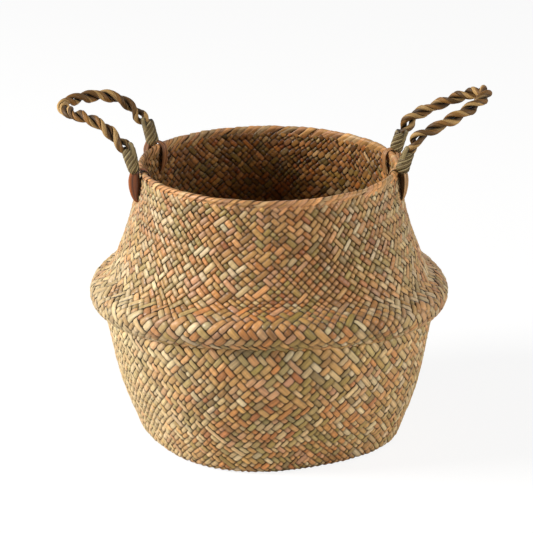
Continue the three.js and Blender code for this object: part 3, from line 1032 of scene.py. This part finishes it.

# %% [markdown]
# ## The bindings
# Each rope end is wound with grey-green leaves, which close over its bottom like the end of a thumb.
# Thirteen narrow leaves wind up together, each lapping over the next. They are ribbons on a
# round-bottomed sleeve, with a core under them that is painted dark, as painted shade, so that no gap
# shows through. Each lap is painted darker at its tucked edge and underneath, as painted shade, and
# lighter on its crown, as a painted highlight. At the top one leaf's end stands out and curls over.

# %% Wind the bindings
winding_pitch = 27.0
windings = 13
binding_finish = dry_leaf("binding_leaf", 0.32, 0.45, 0.4, 0.45)
binding_tones = linear(np.array([
    (144, 125, 82), (108, 88, 50), (168, 149, 104), (96, 77, 42)]) / 255)
lap_width = 1.6
lap = np.array([
    (-1.0, -0.25), (-0.5, 0.0), (0.1, 0.2), (0.7, 0.3), (1.0, 0.22),
    (0.95, 0.02), (0.2, -0.15), (-0.5, -0.3)])
# Painted shade at each lap's tucked edge and underneath, and a painted highlight on its crown.
lap_shade = np.array([0.26, 0.7, 1.0, 1.2, 0.7, 0.3, 0.3, 0.3])
core_inset = 0.35
curl_route = np.array([
    (-0.7, -9.0), (0.0, -5.0), (0.4, -1.0), (0.6, 2.0), (-0.2, 4.0), (-1.8, 4.4), (-2.8, 3.0)])
curl_spacing = 0.5


def sleeve_profile(form, distance, bulge=0.0):
    """Radius and height of a sleeve at a distance up its side from the middle of its bottom."""
    low, length, more = form["low"], form["length"], form["high"] - form["low"]
    angle = np.clip(distance / low, 0, math.pi / 2)
    above = np.maximum(distance - low * math.pi / 2, 0)
    swell = np.interp(above, [0, 0.6 * length, length - 2, length + 2], [0, more, more, more - 1.2])
    radius = low * np.sin(angle) ** 1.2 + swell
    height = above - low * np.cos(angle)
    return radius + bulge * np.sin(angle), height - bulge * np.cos(angle)


def stand_on_leg(facts, leg, form, points):
    """Points round a sleeve's own axis, put where that leg of the handle stands."""
    middle, out_at, half_span = handle_seat(facts)
    across = half_span if math.radians(facts[leg]) > middle else -half_span
    lean = math.radians(form["lean"])
    x, y, z = np.moveaxis(points, -1, 0)
    out = x * math.cos(lean) + z * math.sin(lean) + out_at - form["moved_in"]
    up = z * math.cos(lean) - x * math.sin(lean) + hinge_height
    return spun(out, y + across, up, middle)


def wound_sleeve(facts, leg, form):
    """A core, the leaves wound round it and one leaf's end that curls over at the top."""
    sleeve = Bundle()
    sleeve_end = form["length"] + form["low"] * math.pi / 2
    reach = np.linspace(0.4, sleeve_end - 0.5, 26)
    radius, height = sleeve_profile(form, reach[:, None], -core_inset)
    core = spun(radius, 0, height, np.arange(16) * full_turn / 16)
    # The core is painted dark, as painted shade showing between the laps.
    sleeve.add(stand_on_leg(facts, leg, form, core), binding_tones[2] * 0.4, reach, girth=30.0)
    for winding in range(windings):
        run = np.linspace(0.6, sleeve_end + 1.8, 44)
        angle = winding * full_turn / windings + full_turn * run / winding_pitch
        angle = angle + random_hand.uniform(-0.1, 0.1)
        beside = lap[:, 0] * lap_width * np.interp(run, [0, 7], [0.1, 1])[:, None]
        up_side = np.clip(run[:, None] + beside, 0.2, sleeve_end + random_hand.uniform(0, 0.5))
        bulge = lap[:, 1] + random_hand.uniform(-0.1, 0.1)
        radius, height = sleeve_profile(form, up_side, bulge)
        rings = spun(radius, 0, height, angle[:, None] + 0.08 * lap[:, 0])
        tone = binding_tones[winding % 4] * random_hand.normal(1, 0.08)
        tints = tone * lap_shade[None, :, None]
        sleeve.add(stand_on_leg(facts, leg, form, rings), tints, run * 1.4, girth=14.0)
    curl = softened(evened(curl_route + (form["high"], form["length"]), curl_spacing), 3)
    count = np.arange(len(curl))
    half = np.interp(count, [0, 8, len(curl) - 6, len(curl) - 1], [1.2, 2.4, 2.2, 1.0])
    outwards = curl[:, None] + square_off(curl)[:, None] * flat_section[:, 1:] * 0.8
    turned = form["curl"] + half[:, None] * flat_section[:, 0] / form["high"]
    rings = spun(outwards[..., 0], 0, outwards[..., 1], turned)
    # The curl takes the section's painted shade at its edges and painted highlight on its crown.
    tints = binding_tones[0] * 0.95 * section_shade[None, :, None]
    sleeve.add(stand_on_leg(facts, leg, form, rings), tints, count * curl_spacing, girth=12.0)
    return sleeve


for name, facts in handle_facts.items():
    for leg in ("front", "back"):
        sleeve = wound_sleeve(facts, leg, sleeve_facts[f"{name}_{leg}"])
        bound = sleeve.mesh(f"winding_{name}_{leg}", binding_finish)
        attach(bound, f"handle_{name}")
        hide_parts(f"binding_{name}_{leg}")

# %% [markdown]
# ## The anchor straps
# A flattened reddish-brown leaf holds each rope end. It comes out of the binding, runs down the
# outside like a small cupped leaf, goes through the wall below the border, climbs the inside and
# returns over the rim. It is one ribbon that is narrow where it passes through the wall. Two creases
# run along it beside its middle, and each is painted as a dark line, as painted shade in the crease;
# its underside is painted darker too. The left straps are also painted darker along one edge, as
# painted shade where it turns away from the light.

# %% Thread the straps
strap_finish = dry_leaf("strap_leaf", 0.24, 0.45, 0.35, 0.45)
strap_spacing = 0.9
strap_route = np.array([
    (114.4, 235.4, 6.0), (116.2, 230.8, 8.4), (117.6, 225.5, 10.2), (117.2, 219.0, 9.6),
    (115.6, 213.0, 7.2), (113.4, 208.4, 4.4), (110.6, 206.0, 3.2), (107.2, 206.6, 3.0),
    (104.4, 209.0, 3.8), (102.4, 213.0, 7.2), (101.0, 220.0, 8.6), (100.6, 226.2, 8.4),
    (101.2, 230.4, 7.2), (103.4, 232.9, 6.6), (107.0, 233.7, 6.2), (111.0, 234.2, 5.4)])
strap_forms = {
    "left_front": dict(tone=(158, 84, 30), cups=(8.5, 8.5), belly=0.95, far_edge_shade=0.06),
    "left_back": dict(tone=(160, 104, 62), cups=(6, 8), belly=1.5, far_edge_shade=0.4),
    "right_front": dict(tone=(196, 150, 98), cups=(2.2, 9.0), belly=0.75, far_edge_shade=1.0),
    "right_back": dict(tone=(190, 136, 84), cups=(8, 6), belly=0.8, far_edge_shade=1.0),
}
creased = np.array([
    (-1.0, 0.2), (-0.78, 0.62), (-0.58, 0.5), (-0.44, -0.1), (-0.26, 0.5), (0.0, 0.74),
    (0.26, 0.5), (0.44, -0.1), (0.58, 0.5), (0.78, 0.62), (1.0, 0.2),
    (0.7, -0.25), (0.35, -0.42), (0.0, -0.3), (-0.35, -0.42), (-0.7, -0.25)])
# Painted shade in the two creases and underneath the strap.
creased_shade = np.array([
    0.7, 1, 0.8, 0.12, 0.85, 1, 0.85, 0.12, 0.8, 1, 0.7, 0.4, 0.3, 0.3, 0.3, 0.4])


def strap_ribbon(azimuth, tone, cups, belly, far_edge_shade):
    """A strap's rings, their colours and the way along it."""
    cup = np.where(creased[:, 0] < 0, cups[0], cups[1])
    route = softened(evened(strap_route, strap_spacing), 5)
    route[:, 0] -= (1 - belly) * np.clip(route[:, 0] - 110, 0, None)
    inwards = square_off(route[:, :2])
    half = route[:, 2:3] / 2
    on_outside = np.clip((route[:, 0] - 108) / 5, 0, 1)[:, None]
    rise = creased[:, 1] - cup * on_outside * (half / 4.8) * np.abs(creased[:, 0]) ** 1.6
    rings = spun(route[:, :1] - inwards[:, :1] * rise, half * creased[:, 0],
                 route[:, 1:2] - inwards[:, 1:] * rise, azimuth)
    # Painted shade along the far edge, where the strap turns away from the light.
    shade = creased_shade * np.interp(creased[:, 0], [0.45, 0.95], [1, far_edge_shade])
    tints = linear(np.array(tone) / 255) * shade[None, :, None]
    return rings, tints, np.arange(len(route)) * strap_spacing


for name, facts in handle_facts.items():
    for leg in ("front", "back"):
        leaf = Bundle()
        form = strap_forms[f"{name}_{leg}"]
        leaf.add(*strap_ribbon(math.radians(facts[leg]), **form), girth=20.0)
        strap = leaf.mesh(f"strap_{name}_{leg}", strap_finish)
        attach(strap, "collar")
        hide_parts(f"anchor_strap_{name}_{leg}")
